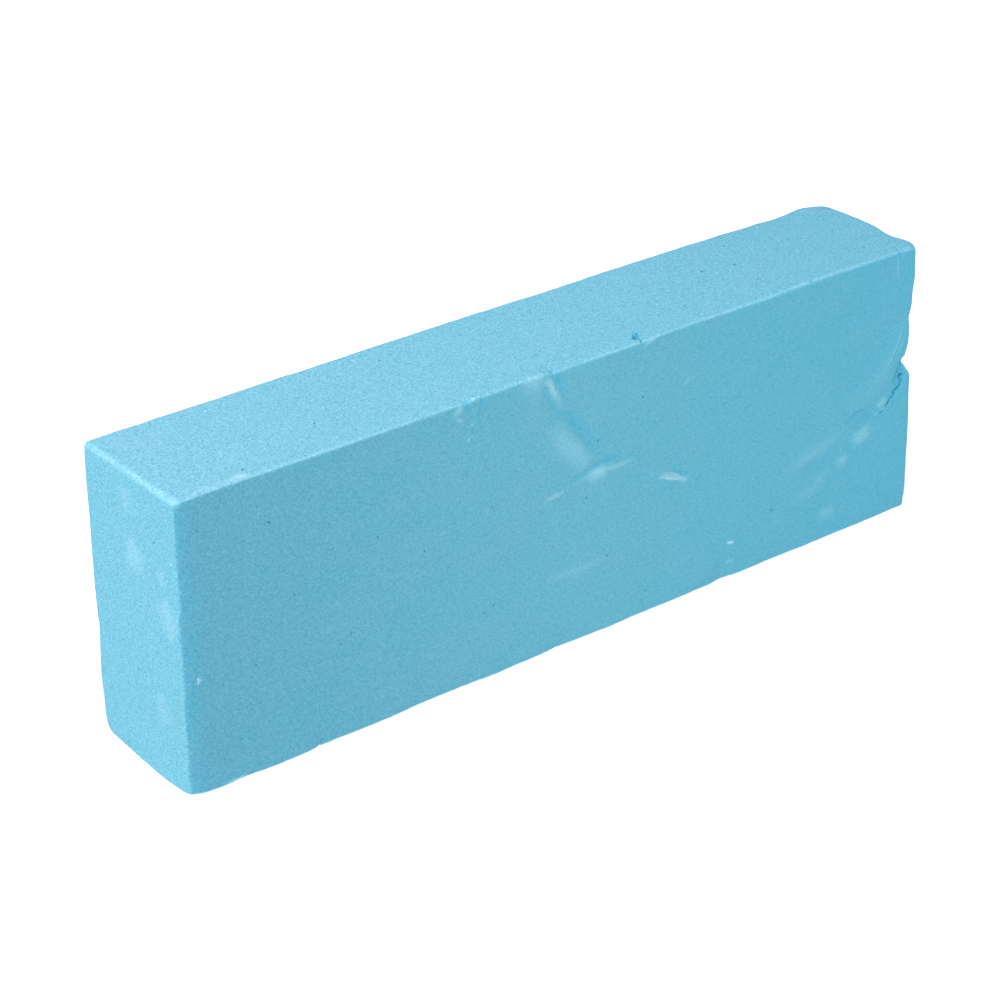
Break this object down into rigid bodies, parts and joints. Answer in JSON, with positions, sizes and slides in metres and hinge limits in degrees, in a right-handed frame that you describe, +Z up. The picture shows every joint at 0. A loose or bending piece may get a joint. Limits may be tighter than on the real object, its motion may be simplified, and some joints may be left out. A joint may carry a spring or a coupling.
{
  "type": "clay bar",
  "caption": "Rectangular bar of fine-grained blue detailing clay with a finger groove, a nail mark and a torn fold at one end.",
  "frame": {"origin": "middle of the bar's footprint, on the surface that it stands on", "axes": "+X along the bar's length, +Y from the marked front face to the back face, +Z up the bar's height"},
  "size_m": [0.135, 0.0224, 0.0466],
  "materials": {
    "clay": "kneadable synthetic detailing clay, matt, fine-grained"
  },
  "bodies": {
    "root": {"clay_bar": "clay"}
  },
  "joints": []
}
